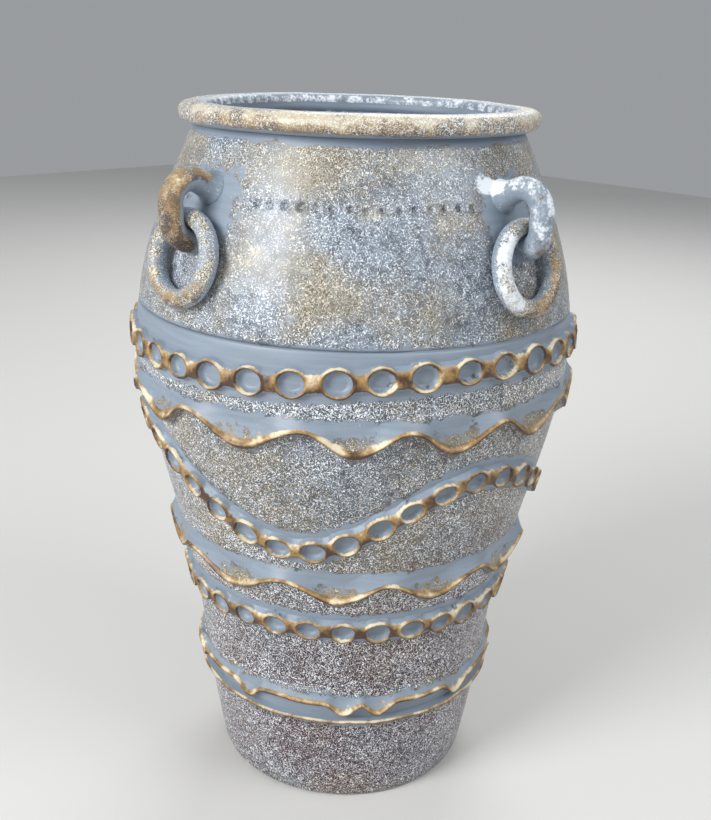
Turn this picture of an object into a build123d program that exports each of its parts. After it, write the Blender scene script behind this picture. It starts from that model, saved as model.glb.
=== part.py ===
from build123d import *
import os
from math import cos, exp, pi, radians, sin

# Tall clay floor jar with applied bands, four shoulder lugs and a loose ring in each lug.
# Sizes are millimetres and degrees. Z is up, and the origin is the middle of the foot.
# The lugs stand on the X and Y axes. Bearings are counted from the jar's best side, which
# lies midway between the lugs on -Y and +X, and grow towards +X.
BEST_SIDE = -45.0

# Body outline: outer radius of the wall at seven heights
JAR_HEIGHT = 600.0
FOOT_RADIUS = 115.0
SHIN_HEIGHT = 60.0
SHIN_RADIUS = 125.5
HIP_HEIGHT = 175.0
HIP_RADIUS = 141.0
WAIST_HEIGHT = 320.0
WAIST_RADIUS = 174.5
BELLY_HEIGHT = 412.0
BELLY_RADIUS = 187.0
SHOULDER_HEIGHT = 500.0
SHOULDER_RADIUS = 170.6
NECK_RADIUS = 135.0

# Wall, measured level, the slab under it and the throwing seam between the two wall halves
WALL = 11.0
FLOOR = 14.0
FOOT_ROUND = 6.0
SEAM_HEIGHT = 439.0
SEAM_GROOVE = 1.2

# Rim roll: it laps down over the neck's upper edge
RIM_WIDTH = 25.5
RIM_HEIGHT = 18.0
RIM_LAP = 2.0
NECK_HEIGHT = JAR_HEIGHT - RIM_HEIGHT + RIM_LAP

# Row of prick marks between the lugs
PRICK_HEIGHT = 535.0
PRICK_WIDTH = 4.4
PRICK_DEPTH = 2.0
PRICK_COUNT = 15
PRICK_STEP = 4.27
PRICK_MIDDLE = 2.5

# Nearness at which a search along the wall stops
NEAR = 1e-7

# Film of joining slip between the wall and every strip pressed on to it
SLIP = 0.3

# Thumbed bands: a rope of clay pressed into round cups
CUP_LIP = 2.4
CUP_PROUD = 6.6
CUP_FLOOR = 1.6
LINK_WIDTH = 11.2
LINK_PROUD = 6.4
LINK_BITE = 1.8

UPPER_BAND_HEIGHT = 418.0
UPPER_BAND_CUPS = 36
UPPER_BAND_START = -3.1
UPPER_BAND_CUP = 26.0

LOWER_BAND_HEIGHT = 190.0
LOWER_BAND_CUPS = 32
LOWER_BAND_START = -0.9
LOWER_BAND_CUP = 24.0

# The garland turns at these bearings and heights, and hangs in even curves between them
GARLAND_TURNS = [(-74, 343), (-14, 270), (35, 329), (97, 271), (160, 334), (223, 270)]
GARLAND_CUPS = 41
GARLAND_CUP = 24.0

# Wavy frills: the crests on the best side, then even waves round the rest
FRILL_LIP = 4.0
FRILL_STEPS = 8
FRILL_DROP = 9.0
FRILL_DROP_SWING = 4.0

UPPER_FRILL_CRESTS = [-40.8, -11.1, 13.3, 37.0, 61.8]
UPPER_FRILL_EVEN_WAVES = 10
UPPER_FRILL_HEIGHT = 370.5
UPPER_FRILL_RISE = 9.5
UPPER_FRILL_ROOT = 391.0
UPPER_FRILL_PROUD = 8.0

LOWER_FRILL_CRESTS = [-55.6, -17.6, 12.0, 42.7]
LOWER_FRILL_EVEN_WAVES = 9
LOWER_FRILL_HEIGHT = 231.0
LOWER_FRILL_RISE = 9.0
LOWER_FRILL_ROOT = 251.0
LOWER_FRILL_PROUD = 8.0

# Pinched strip near the foot, and the plain ledge under it
PINCHES = [-71, -37, 0.5, 12.9, 46, 83, 118, 131, 166, 199, 212, 247]
PINCH_DEPTH = 10.5
PINCH_HALF_WIDTH = 4.5
PINCHED_HEIGHT = 114.0
PINCHED_ROOT = 127.0
PINCHED_PROUD = 7.5
PINCHED_DROP = 3.5
PINCHED_LIP = 3.6
PINCHED_SECTIONS = 120

LEDGE_GAP = 0.7
LEDGE_PROUD = 7.0
LEDGE_LIP = 3.0
LEDGE_DROP = 3.0

# Lugs and the rings that hang in them
LUG_BAR = 18.0
LUG_RISE = 11.0
LUG_CROWN_ANGLE = 115.0
LUG_THROAT_ANGLE = 80.0
LUG_ROOT_LENGTH = 24.0
LUG_FLARE = 30.0
RING_BAR = 15.0
RING_HOLE = 46.0
RING_TOP = 521.0
RING_STANDOFF = 10.5
RING_PLAY = 0.35
SIDES = {"right": 0, "back": 90, "left": 180, "front": 270}

OUTLINE = [
    (FOOT_RADIUS, 0),
    (SHIN_RADIUS, SHIN_HEIGHT),
    (HIP_RADIUS, HIP_HEIGHT),
    (WAIST_RADIUS, WAIST_HEIGHT),
    (BELLY_RADIUS, BELLY_HEIGHT),
    (SHOULDER_RADIUS, SHOULDER_HEIGHT),
    (NECK_RADIUS, NECK_HEIGHT),
]
INSIDE = [(radius - WALL, height) for radius, height in OUTLINE]

os.makedirs("parts", exist_ok=True)


def save(piece, label):
    """Label a finished piece and write it to its own file."""
    piece.part.label = label
    export_step(piece.part, f"parts/{label}.step")


# The outer curve of the wall, which every applied piece seats on
with BuildLine(Plane.XZ) as outline:
    Spline(*OUTLINE)
outer_curve = outline.edge()


def wall_place(height):
    """Place along the outer curve, from 0 to 1, at a height."""
    low = 0.0
    high = 1.0
    while high - low > NEAR:
        middle = (low + high) / 2
        if (outer_curve @ middle).Z < height:
            low = middle
        else:
            high = middle
    return low


def wall_radius(height):
    """Outer radius of the wall at a height."""
    return (outer_curve @ wall_place(height)).X


def turned(bearing):
    """Angle about Z, from +X, of a bearing counted from the best side."""
    return radians(BEST_SIDE + bearing)


def wall_point(bearing, height):
    """Point on the wall's outer face."""
    angle = turned(bearing)
    radius = wall_radius(height)
    return Vector(radius * cos(angle), radius * sin(angle), height)


def wall_normal(bearing, height):
    """Direction straight out of the wall's outer face."""
    angle = turned(bearing)
    along = outer_curve % wall_place(height)
    return Vector(along.Z * cos(angle), along.Z * sin(angle), -along.X)


def seat_plane(bearing, height, lift=SLIP):
    """Plane that lies on the wall's outer face, lifted by the slip."""
    return Plane(origin=wall_point(bearing, height), z_dir=wall_normal(bearing, height)).offset(lift)


def radial_plane(bearing):
    """Upright plane through the jar's axis: local x is outwards and local y is up."""
    angle = turned(bearing)
    return Plane(origin=(0, 0, 0), x_dir=(cos(angle), sin(angle), 0), z_dir=(sin(angle), -cos(angle), 0))


def body_outline():
    """Closed outline of the whole body, from its axis to the wall's outer face."""
    Spline(*OUTLINE)
    Polyline(OUTLINE[-1], (0, NECK_HEIGHT), (0, 0), OUTLINE[0])


def wall_shell(bottom, top):
    """One thrown length of the wall between two heights."""
    with BuildPart() as shell:
        with BuildSketch(Plane.XZ):
            with BuildLine():
                Spline(*OUTLINE)
                Line(OUTLINE[-1], INSIDE[-1])
                Spline(*reversed(INSIDE))
                Line(INSIDE[0], OUTLINE[0])
            make_face()
            with Locations((BELLY_RADIUS, (bottom + top) / 2)):
                Rectangle(2 * BELLY_RADIUS, top - bottom, mode=Mode.INTERSECT)
        revolve(axis=Axis.Z)
    return shell


# Foot slab
with BuildPart() as foot_slab:
    with BuildSketch(Plane.XZ):
        with BuildLine():
            body_outline()
        make_face()
        Rectangle(2 * BELLY_RADIUS, FLOOR, align=(Align.CENTER, Align.MIN), mode=Mode.INTERSECT)
    revolve(axis=Axis.Z)
    fillet(foot_slab.faces().sort_by(Axis.Z)[0].edges(), FOOT_ROUND)
save(foot_slab, "foot_slab")

# Thrown walls, with a shallow groove where the halves were joined
lower_wall = wall_shell(FLOOR, SEAM_HEIGHT)
save(lower_wall, "lower_wall")

upper_wall = wall_shell(SEAM_HEIGHT, NECK_HEIGHT)
prick_places = [
    (quarter * 90 + PRICK_MIDDLE + (mark - (PRICK_COUNT - 1) / 2) * PRICK_STEP, PRICK_HEIGHT)
    for quarter in range(len(SIDES))
    for mark in range(PRICK_COUNT)
]
with upper_wall:
    seam_edge = upper_wall.faces().sort_by(Axis.Z)[0].edges().sort_by(SortBy.RADIUS)[-1]
    chamfer(seam_edge, SEAM_GROOVE)
    with Locations(*[seat_plane(*place, lift=0) for place in prick_places]):
        Cone(PRICK_WIDTH / 4, PRICK_WIDTH * 3 / 4, 2 * PRICK_DEPTH, mode=Mode.SUBTRACT)
save(upper_wall, "upper_wall")

# Rim roll, flush with the inside of the neck
rim_inside = NECK_RADIUS - WALL
with BuildPart() as rim_roll:
    with BuildSketch(Plane.XZ):
        with Locations((rim_inside + RIM_WIDTH / 2, JAR_HEIGHT - RIM_HEIGHT / 2)):
            Ellipse(RIM_WIDTH / 2, RIM_HEIGHT / 2)
        with Locations((rim_inside, NECK_HEIGHT)):
            Rectangle(RIM_WIDTH / 2, RIM_HEIGHT / 2 - RIM_LAP, align=(Align.MIN, Align.MIN))
        with BuildLine():
            body_outline()
        make_face(mode=Mode.SUBTRACT)
    revolve(axis=Axis.Z)
save(rim_roll, "rim_roll")


def thumb_cup(width):
    """One pressed cup of a thumbed band, standing on the XY plane."""
    outer = width / 2
    inner = outer - CUP_LIP
    crest = CUP_PROUD - CUP_LIP / 2
    hollow = crest - CUP_FLOOR
    dish_radius = (inner**2 + hollow**2) / (2 * hollow)
    with BuildPart() as cup:
        with BuildSketch(Plane.XZ):
            with BuildLine():
                Polyline((0, CUP_FLOOR), (0, 0), (outer, 0), (outer, crest))
                ThreePointArc((outer, crest), (outer - CUP_LIP / 2, CUP_PROUD), (inner, crest))
                RadiusArc((inner, crest), (0, CUP_FLOOR), dish_radius)
            make_face()
        revolve(axis=Axis.Z)
    return cup.part


def rope_link(length):
    """The length of rope between two cups, lying along local Z on the plane local Y = 0."""
    with BuildPart() as link:
        with BuildSketch():
            Ellipse(LINK_WIDTH / 2, LINK_PROUD)
            Rectangle(LINK_WIDTH, LINK_PROUD, align=(Align.CENTER, Align.MIN), mode=Mode.INTERSECT)
        extrude(amount=length / 2, both=True)
    return link.part


def thumbed_band(stations, width):
    """Cups at bearings and heights round the wall, with rope links between neighbours."""
    first_bearing, first_height = stations[0]
    link_planes = []
    steps = []
    for before, after in zip(stations, stations[1:] + [(first_bearing + 360, first_height)]):
        middle = ((before[0] + after[0]) / 2, (before[1] + after[1]) / 2)
        along = wall_point(*after) - wall_point(*before)
        across = wall_normal(*middle).cross(along)
        link_planes.append(Plane(origin=seat_plane(*middle).origin, x_dir=across, z_dir=along))
        steps.append(along.length)
    cup = thumb_cup(width)
    link = rope_link(max(steps) - width + 2 * LINK_BITE)
    with BuildPart() as band:
        with Locations(*[seat_plane(*station) for station in stations]):
            add(cup)
        with Locations(*link_planes):
            add(link)
    return band


def level_stations(height, count, start):
    """Even stations round the jar at one height."""
    return [(start + 360 / count * index, height) for index in range(count)]


upper_thumbed_band = thumbed_band(
    level_stations(UPPER_BAND_HEIGHT, UPPER_BAND_CUPS, UPPER_BAND_START), UPPER_BAND_CUP
)
save(upper_thumbed_band, "upper_thumbed_band")

lower_thumbed_band = thumbed_band(
    level_stations(LOWER_BAND_HEIGHT, LOWER_BAND_CUPS, LOWER_BAND_START), LOWER_BAND_CUP
)
save(lower_thumbed_band, "lower_thumbed_band")


def garland_height(bearing):
    """Height of the garland's middle line, easing from each turn to the next."""
    first_bearing, first_height = GARLAND_TURNS[0]
    around = first_bearing + (bearing - first_bearing) % 360
    turns = GARLAND_TURNS + [(first_bearing + 360, first_height)]
    for (start, low), (end, high) in zip(turns, turns[1:]):
        if around <= end:
            return low + (high - low) * (1 - cos(pi * (around - start) / (end - start))) / 2


def garland_stations():
    """Stations at even steps along the garland's length."""
    samples = [(degree, garland_height(degree)) for degree in range(361)]
    points = [wall_point(*sample) for sample in samples]
    lengths = [(after - before).length for before, after in zip(points, points[1:])]
    step = sum(lengths) / GARLAND_CUPS
    stations = []
    walked = 0.0
    for degree, length in enumerate(lengths):
        while len(stations) * step < walked + length:
            bearing = degree + (len(stations) * step - walked) / length
            stations.append((bearing, garland_height(bearing)))
        walked += length
    return stations[:GARLAND_CUPS]


thumbed_garland = thumbed_band(garland_stations(), GARLAND_CUP)
save(thumbed_garland, "thumbed_garland")


def strip_section(root, lip, proud, drop, thick):
    """Outline of a pressed strip: its seat on the wall, its upper face, its lip and its underside."""
    foot = lip - thick / 2 - drop
    seat = [(wall_radius(height) + SLIP, height) for height in (foot, (foot + root) / 2, root)]
    nose = wall_radius(lip) + proud
    upper_edge = (nose - thick / 2, lip + thick / 2)
    lower_edge = (nose - thick / 2, lip - thick / 2)
    ThreePointArc(*seat)
    Line(seat[-1], upper_edge)
    ThreePointArc(upper_edge, (nose, lip), lower_edge)
    Line(lower_edge, seat[0])


def strip_loft(sections):
    """Closed strip round the wall through sections, each a bearing and its sizes."""
    with BuildPart() as strip:
        for bearing, *sizes in sections:
            with BuildSketch(radial_plane(bearing)):
                with BuildLine():
                    strip_section(*sizes)
                make_face()
        faces = strip.pending_faces
        loft(faces + faces[:1])
    return strip


def wavy_frill(seen_crests, even_waves, height, rise, root, proud):
    """Strip whose lip rises to a crest at each bearing listed, then in even waves round the rest."""
    gap = (seen_crests[0] + 360 - seen_crests[-1]) / even_waves
    crests = seen_crests + [seen_crests[-1] + gap * (wave + 1) for wave in range(even_waves)]
    sections = []
    for start, end in zip(crests, crests[1:]):
        for step in range(FRILL_STEPS):
            swing = cos(2 * pi * step / FRILL_STEPS)
            bearing = start + (end - start) * step / FRILL_STEPS
            drop = FRILL_DROP + FRILL_DROP_SWING * swing
            sections.append((bearing, root, height + rise * swing, proud, drop, FRILL_LIP))
    return strip_loft(sections)


upper_wavy_frill = wavy_frill(
    UPPER_FRILL_CRESTS,
    UPPER_FRILL_EVEN_WAVES,
    UPPER_FRILL_HEIGHT,
    UPPER_FRILL_RISE,
    UPPER_FRILL_ROOT,
    UPPER_FRILL_PROUD,
)
save(upper_wavy_frill, "upper_wavy_frill")

lower_wavy_frill = wavy_frill(
    LOWER_FRILL_CRESTS,
    LOWER_FRILL_EVEN_WAVES,
    LOWER_FRILL_HEIGHT,
    LOWER_FRILL_RISE,
    LOWER_FRILL_ROOT,
    LOWER_FRILL_PROUD,
)
save(lower_wavy_frill, "lower_wavy_frill")


def pinch(bearing):
    """Share of the full pinch depth at a bearing."""
    offsets = [(bearing - middle + 180) % 360 - 180 for middle in PINCHES]
    return max(exp(-((offset / PINCH_HALF_WIDTH) ** 2)) for offset in offsets)


pinched_sections = []
for index in range(PINCHED_SECTIONS):
    bearing = 360 / PINCHED_SECTIONS * index
    lip = PINCHED_HEIGHT - PINCH_DEPTH * pinch(bearing)
    pinched_sections.append((bearing, PINCHED_ROOT, lip, PINCHED_PROUD, PINCHED_DROP, PINCHED_LIP))
pinched_strip = strip_loft(pinched_sections)
save(pinched_strip, "pinched_strip")

# Ledge, just clear of the lowest pinch
ledge_root = PINCHED_HEIGHT - PINCH_DEPTH - PINCHED_LIP / 2 - PINCHED_DROP - LEDGE_GAP
with BuildPart() as ledge_strip:
    with BuildSketch(Plane.XZ):
        with BuildLine():
            strip_section(ledge_root, ledge_root - LEDGE_LIP, LEDGE_PROUD, LEDGE_DROP, LEDGE_LIP)
        make_face()
    revolve(axis=Axis.Z)
save(ledge_strip, "ledge_strip")

# Hinge line of a ring: the middle of its bar where it hangs in the lug's throat
hinge_radius = wall_radius(RING_TOP) + RING_STANDOFF
ring_radius = (RING_HOLE + RING_BAR) / 2
loop_radius = (LUG_BAR + RING_BAR) / 2 + RING_PLAY

# The body's whole form, used to trim the lugs where they are pressed on to it
with BuildPart() as jar_form:
    with BuildSketch(radial_plane(0)):
        with BuildLine():
            body_outline()
        make_face()
    revolve(axis=Axis.Z)

# Lug on +X: a bent roll whose throat runs round the ring's hinge line
with BuildPart() as lug_form:
    with BuildLine(Plane.XZ) as lug_line:
        crown = CenterArc((hinge_radius, RING_TOP + LUG_RISE), loop_radius, LUG_CROWN_ANGLE, -LUG_CROWN_ANGLE)
        throat = CenterArc((hinge_radius, RING_TOP), loop_radius, 0, -LUG_THROAT_ANGLE)
        Line(crown @ 0 - crown % 0 * LUG_ROOT_LENGTH, crown @ 0)
        Line(crown @ 1, throat @ 0)
        Line(throat @ 1, throat @ 1 + throat % 1 * LUG_ROOT_LENGTH)
    bend = lug_line.wire()
    with BuildSketch(Plane(origin=bend @ 0, z_dir=bend % 0)):
        Circle(LUG_BAR / 2)
    sweep(path=bend)
    with Locations(Plane(origin=crown @ 0, z_dir=crown % 0)):
        Cone(LUG_FLARE / 2, LUG_BAR / 2, LUG_ROOT_LENGTH, align=(Align.CENTER, Align.CENTER, Align.MAX))
    add(jar_form.part, mode=Mode.SUBTRACT)


def foot_clearance(lean):
    """Room between the wall and the middle of a ring's lowest bar when the ring leans out."""
    low_radius = hinge_radius + 2 * ring_radius * sin(radians(lean))
    low_height = RING_TOP - 2 * ring_radius * cos(radians(lean))
    slope = outer_curve % wall_place(low_height)
    return (low_radius - wall_radius(low_height)) * slope.Z


def resting_lean():
    """Angle from upright at which a ring's lowest bar rests on the wall."""
    low = 0.0
    high = 90.0
    while high - low > NEAR:
        middle = (low + high) / 2
        if foot_clearance(middle) < RING_BAR / 2 + RING_PLAY:
            low = middle
        else:
            high = middle
    return high


# Ring on +X, hanging on the lug's throat and leaning on the wall
ring_lean = radians(resting_lean())
ring_plane = Plane(
    origin=(hinge_radius + ring_radius * sin(ring_lean), 0, RING_TOP - ring_radius * cos(ring_lean)),
    z_dir=(cos(ring_lean), 0, sin(ring_lean)),
)
with BuildPart(ring_plane) as ring_form:
    Torus(ring_radius, RING_BAR / 2)

for side, turn in SIDES.items():
    with BuildPart() as lug:
        add(lug_form.part, rotation=(0, 0, turn))
    save(lug, f"lug_{side}")
    with BuildPart() as ring:
        add(ring_form.part, rotation=(0, 0, turn))
    save(ring, f"ring_{side}")

print("ring hinge radius", round(hinge_radius, 3), "height", RING_TOP, "lean", round(resting_lean(), 3))
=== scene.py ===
from functools import partial
from math import cos, degrees, pi, radians, sin

import bpy
import numpy as np
from bpy.props import FloatProperty, FloatVectorProperty, IntProperty, PointerProperty
from mathutils import Matrix, Vector


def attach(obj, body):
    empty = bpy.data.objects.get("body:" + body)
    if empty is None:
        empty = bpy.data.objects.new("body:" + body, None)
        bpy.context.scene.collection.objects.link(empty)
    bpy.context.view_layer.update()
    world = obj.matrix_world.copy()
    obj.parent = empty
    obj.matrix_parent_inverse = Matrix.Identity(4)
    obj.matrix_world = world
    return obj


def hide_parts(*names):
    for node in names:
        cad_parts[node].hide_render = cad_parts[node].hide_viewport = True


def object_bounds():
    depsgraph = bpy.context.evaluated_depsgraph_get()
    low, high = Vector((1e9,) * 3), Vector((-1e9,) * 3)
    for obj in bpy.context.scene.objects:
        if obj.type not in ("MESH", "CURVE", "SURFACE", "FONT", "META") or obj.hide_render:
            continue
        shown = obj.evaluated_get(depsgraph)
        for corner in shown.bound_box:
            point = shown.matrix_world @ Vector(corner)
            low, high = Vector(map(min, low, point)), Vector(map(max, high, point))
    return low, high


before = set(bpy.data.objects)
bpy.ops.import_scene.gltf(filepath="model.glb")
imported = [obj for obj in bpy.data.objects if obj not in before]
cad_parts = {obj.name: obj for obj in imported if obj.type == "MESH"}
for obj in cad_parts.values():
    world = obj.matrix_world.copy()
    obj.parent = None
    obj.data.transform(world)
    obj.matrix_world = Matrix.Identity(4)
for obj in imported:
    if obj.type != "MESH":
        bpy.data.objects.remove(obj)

# Tall clay floor jar: hand-built pieces, brushed and speckled paint, stage and camera.
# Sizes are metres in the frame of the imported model: Z is up, the foot's middle is the origin.
# Bearings are counted from the jar's best side, which lies midway between -Y and +X.

bl_info = {
    "name": "Thumbed clay floor jar",
    "version": (1, 0, 0),
    "blender": (4, 5, 0),
    "location": "View3D > Sidebar > Jar",
    "description": "Builds a hand-pressed clay jar with ring lugs and a speckled paint finish",
    "category": "Add Mesh",
}

CAD_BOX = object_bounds()
BEST_SIDE = radians(-45)
FULL_TURN = 2 * pi
# Turns of the four lugs about the jar's axis, in degrees from +X
SIDES = {"right": 0, "back": 90, "left": 180, "front": 270}

# Points round the jar in each mesh, enough for the finest form that it carries
COLUMNS = {
    "foot_slab": 240,
    "lower_wall": 480,
    "upper_wall": 1200,
    "rim": 480,
    "frill": 840,
    "foot_strip": 960,
}
SHARP_EDGE = radians(60)

# Outer radius of the wall at seven heights, from the foot to the neck
NECK_HEIGHT = 0.584
OUTLINE_HEIGHTS = np.array([0.0, 0.060, 0.175, 0.320, 0.412, 0.500, NECK_HEIGHT])
OUTLINE_RADII = np.array([0.115, 0.1255, 0.141, 0.1745, 0.187, 0.1706, 0.135])
FLOOR_TOP = 0.014
SEAM_HEIGHT = 0.439

# Radii of the rings of points on the two flat faces of the foot slab
SLAB_RINGS = (0.03, 0.06, 0.09)

# Throwing lines, as radians of wave to a metre of height: they lie about 7 mm apart
LINE_WAVES = 930

# Rows of the wall's mesh beside the seam, as distances from it, and across the prick marks
SEAM_ROWS = np.array([0.0, 0.0006, 0.0012, 0.002, 0.0035])
PRICK_ROWS = np.linspace(-0.005, 0.005, 15)

# Prick marks: height, count in each quarter, step and middle bearing in degrees
PRICK_HEIGHT = 0.535
PRICK_COUNT = 15
PRICK_STEP = 4.27
PRICK_MIDDLE = 2.5
# How far a hand-made mark lies aside of its place in the row, and above or below it
PRICK_ASIDE = 0.0006
PRICK_ABOVE = 0.0008

# Thumbed bands: turns of the middle line as bearing in degrees and height
UPPER_TURNS = ((-75, 0.413), (-40, 0.411), (35, 0.4225), (80, 0.418), (200, 0.418))
LOWER_TURNS = ((0, 0.190), (180, 0.190))
GARLAND_TURNS = ((-74, 0.343), (-14, 0.270), (35, 0.329), (97, 0.271), (160, 0.334), (223, 0.270))
# Their cups: middle line, count, bearing of the first in degrees, and the setting that holds their radius
THUMBED_BANDS = {
    "upper_thumbed_band": (UPPER_TURNS, 36, -3.1, "upper_cup"),
    "thumbed_garland": (GARLAND_TURNS, 41, 0.0, "lower_cup"),
    "lower_thumbed_band": (LOWER_TURNS, 32, -0.9, "lower_cup"),
}

# Wavy frills: crests on the best side in degrees, even waves round the rest, height and rise of the lip,
# height of the root, and how far below the root the plain strip over the frill ends
UPPER_FRILL = {
    "crests": (-40.8, -11.1, 13.3, 37.0, 61.8),
    "waves": 10,
    "height": 0.3705,
    "rise": 0.0095,
    "root": 0.391,
    "wiped": 0.007,
}
LOWER_FRILL = {
    "crests": (-55.6, -17.6, 12.0, 42.7),
    "waves": 9,
    "height": 0.231,
    "rise": 0.009,
    "root": 0.251,
    "wiped": 0.005,
}

# Pinched strip and the ledge under it
PINCHES = (-71, -37, 0.5, 12.9, 46, 83, 118, 131, 166, 199, 212, 247)
PINCH_HALF_WIDTH = 4.5
PINCH_DEPTH = 0.0105
PINCHED_HEIGHT = 0.114
PINCHED_ROOT = 0.127
LEDGE_ROOT = 0.0975
LEDGE_HEIGHT = 0.0945
LEDGE_DROP = 0.003
LEDGE_LIP = 0.0025

# How deep the underside of a pressed piece lies in the wall
BED_DEPTH = 0.0035

# Lugs and rings: the hinge line of a ring, and how a lug bends round it
HINGE_RADIUS = 0.173789
HINGE_HEIGHT = 0.521
RING_LEAN = radians(14.413)
LUG_RISE = 0.011
LUG_CROWN = radians(115)
LUG_THROAT = radians(80)
LUG_ROOT = 0.024
BAR_SIDES = 36

# Flare of a lug's lower end, how far out from the wall a lug flares, and how far out it isn't gilded
LOW_FLARE = 0.25
FLARE_REACH = 0.0045
ROOT_REACH = 0.008

# Lumps to a metre that a hand leaves on pressed strips and on rolled bars
PRESSED_LUMPS = 85.0
ROLLED_LUMPS = 60.0

# Brushwork on each lug: gold, how plain it was wiped, and white
LUG_PAINT = {
    "right": (0.2, 0.75, 0.42),
    "back": (0.3, 0.5, 0.0),
    "left": (0.15, 0.5, 0.0),
    "front": (0.62, 0.5, 0.0),
}
# Brushwork on each ring: gold, and white on one limb
RING_PAINT = {"right": (0.48, 0.58), "back": (0.35, 0.0), "left": (0.3, 0.0), "front": (0.26, 0.0)}

# Strips of the wall that were wiped plain: low edge, high edge and how softly they end
WIPED_SOFT = 0.007
WIPED_STRIPS = ((0.182, 0.202, WIPED_SOFT), (0.090, 0.114, WIPED_SOFT), (0.579, 0.600, 0.003))
# The patch round each lug that was wiped plain: height, half angle in degrees and half height
WIPED_AT_LUG = (0.531, 10.5, 0.026)

# Patches of gold dust on the upper wall: bearing in degrees, height, half angle, half height and strength
GOLD_DUST = (
    (-24, 0.556, 14, 0.016, 1.0),
    (-20, 0.521, 12, 0.014, 1.0),
    (-26, 0.492, 13, 0.024, 1.0),
    (-60, 0.572, 6, 0.006, 1.0),
    (67, 0.564, 12, 0.014, 1.0),
    (68, 0.500, 9, 0.030, 1.0),
    (21, 0.566, 12, 0.010, 0.8),
    (4, 0.531, 6, 0.009, 0.8),
    (-4, 0.474, 16, 0.018, 0.7),
    (150, 0.520, 22, 0.030, 0.8),
    (240, 0.545, 18, 0.020, 0.8),
)
# The dab of white by the right lug, and the thicker flecks by the front one, in the same order
WHITE_DAB = (39.5, 0.5495, 5.5, 0.0075)
THICK_FLECKS = (-47, 0.560, 8, 0.012)

# Camera at the reference view: distance from the jar's axis, height, lens and turns in degrees
CAMERA_DISTANCE = 0.915
CAMERA_HEIGHT = 0.6506
CAMERA_LENS = 46.98
CAMERA_PAN = 44.74
CAMERA_TILT = 70.76
CAMERA_ROLL = 1.76

# Soft lights: bearing and elevation in degrees, width and height of each, all at one distance
LIGHT_DISTANCE = 3.0
LIGHTS = {"window": (-48, 28, 1.26, 1.58), "fill": (60, 42, 1.64, 1.64), "back": (170, 40, 1.6, 1.6)}
FLOOR_HALF = 4.0


def tone(code):
    """Linear colour of an sRGB hex code."""
    parts = [int(code[place : place + 2], 16) / 255 for place in (1, 3, 5)]
    linear = [part / 12.92 if part <= 0.04045 else ((part + 0.055) / 1.055) ** 2.4 for part in parts]
    return (*linear, 1.0)


def colour(name, words, code):
    """A colour setting."""
    return FloatVectorProperty(name=name, description=words, size=4, subtype="COLOR", default=tone(code))


def length(name, words, value):
    """A length setting in metres."""
    return FloatProperty(name=name, description=words, default=value, unit="LENGTH", precision=5)


def number(name, words, value):
    """A setting without a unit."""
    return FloatProperty(name=name, description=words, default=value)


class JarBodySettings(bpy.types.PropertyGroup):
    """Sizes of the thrown body and its rim."""

    wall: length("Wall", "Level thickness of the wall", 0.011)
    wobble: length("Wobble", "How far the wall strays from a true circle", 0.0006)
    throwing: length("Throwing lines", "Depth of the lines left by the thrower's fingers", 0.00016)
    seam: length("Seam", "Depth of the groove where the wall halves meet", 0.0017)
    seam_width: length("Seam width", "Half the width of that groove", 0.0010)
    prick: length("Prick", "Depth of a prick mark", 0.0024)
    prick_radius: length("Prick radius", "Half the width of a prick mark", 0.0030)
    rim_width: length("Rim width", "Level width of the rim roll", 0.0255)
    rim_height: length("Rim height", "Height of the rim roll", 0.018)
    rim_play: length("Rim play", "Room for an uneven rim inside those sizes", 0.0006)
    foot_round: length("Foot round", "Rounding of the foot's lower edge", 0.006)


class JarBandSettings(bpy.types.PropertyGroup):
    """Sizes of the strips pressed on to the wall."""

    upper_cup: length("Upper cup", "Radius of the lip round a cup of the upper band", 0.0113)
    lower_cup: length("Lower cup", "Radius of the lip round a cup of the other bands", 0.0106)
    lip: length("Lip", "Height of a cup's lip over its seat", 0.0080)
    rope: length("Rope", "Height of the rope between cups", 0.0077)
    rope_width: length("Rope width", "Half the width of the rope between cups", 0.0085)
    reach: length("Reach", "How far the smoothed clay runs out to each side", 0.019)
    hand: length("Unevenness", "How far the pressed clay strays from its rule", 0.0005)
    frill_proud: length("Frill", "How far a frill stands out from the wall", 0.0085)
    frill_lip: length("Frill lip", "Thickness of a frill's lip", 0.0033)
    strip_proud: length("Strip", "How far the pinched strip stands out", 0.0075)
    ledge_proud: length("Ledge", "How far the ledge stands out", 0.0068)
    strip_lip: length("Strip lip", "Thickness of the pinched strip's lip", 0.0034)
    seed: IntProperty(name="Seed", description="Which random hand pressed the bands", default=7)


class JarLugSettings(bpy.types.PropertyGroup):
    """Sizes of the lugs and rings."""

    lug_bar: length("Lug bar", "Thickness of a lug", 0.018)
    ring_bar: length("Ring bar", "Thickness of a ring", 0.015)
    ring_hole: length("Ring hole", "Width of the hole in a ring", 0.046)
    play: length("Play", "Room between a ring and its lug", 0.00035)
    flare: number("Flare", "Girth of a lug where it meets the wall", 1.55)
    hand: length("Unevenness", "How far a rolled bar strays from round", 0.0004)


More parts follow.
